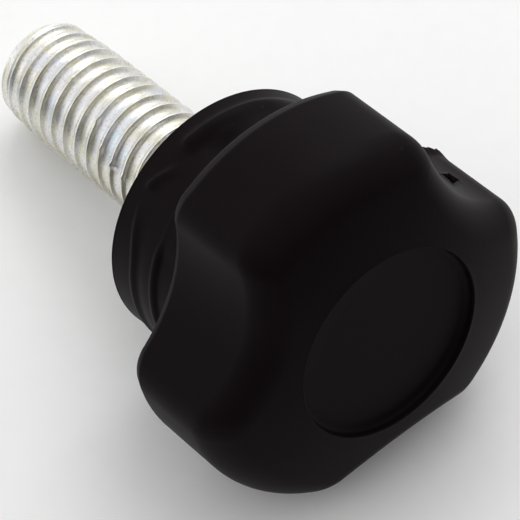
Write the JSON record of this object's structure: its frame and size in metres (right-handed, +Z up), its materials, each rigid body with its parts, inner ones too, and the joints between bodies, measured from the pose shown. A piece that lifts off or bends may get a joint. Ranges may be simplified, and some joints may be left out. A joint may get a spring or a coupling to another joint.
{
  "type": "thumb screw",
  "caption": "Thumb screw with a lobed black plastic knob, a ringed collar and a zinc plated threaded stud, for fastening by hand.",
  "frame": {"origin": "middle of the foot of the lying screw's box, on the surface that it rests on", "axes": "+Z up, +X from the stud's tip towards the head, seen from above; the screw lies on the stud's tip and on the lobes either side of the flute that faces down, so its axis rises towards the head by the angle that they set"},
  "size_m": [0.0296, 0.019, 0.0183],
  "materials": {
    "black_plastic": "matt as moulded, finely grained",
    "zinc_plated_steel": "bright zinc plating with a faint yellow and blue tint"
  },
  "bodies": {
    "root": {"knob": "black_plastic", "threaded_stud": "zinc_plated_steel"}
  },
  "joints": []
}
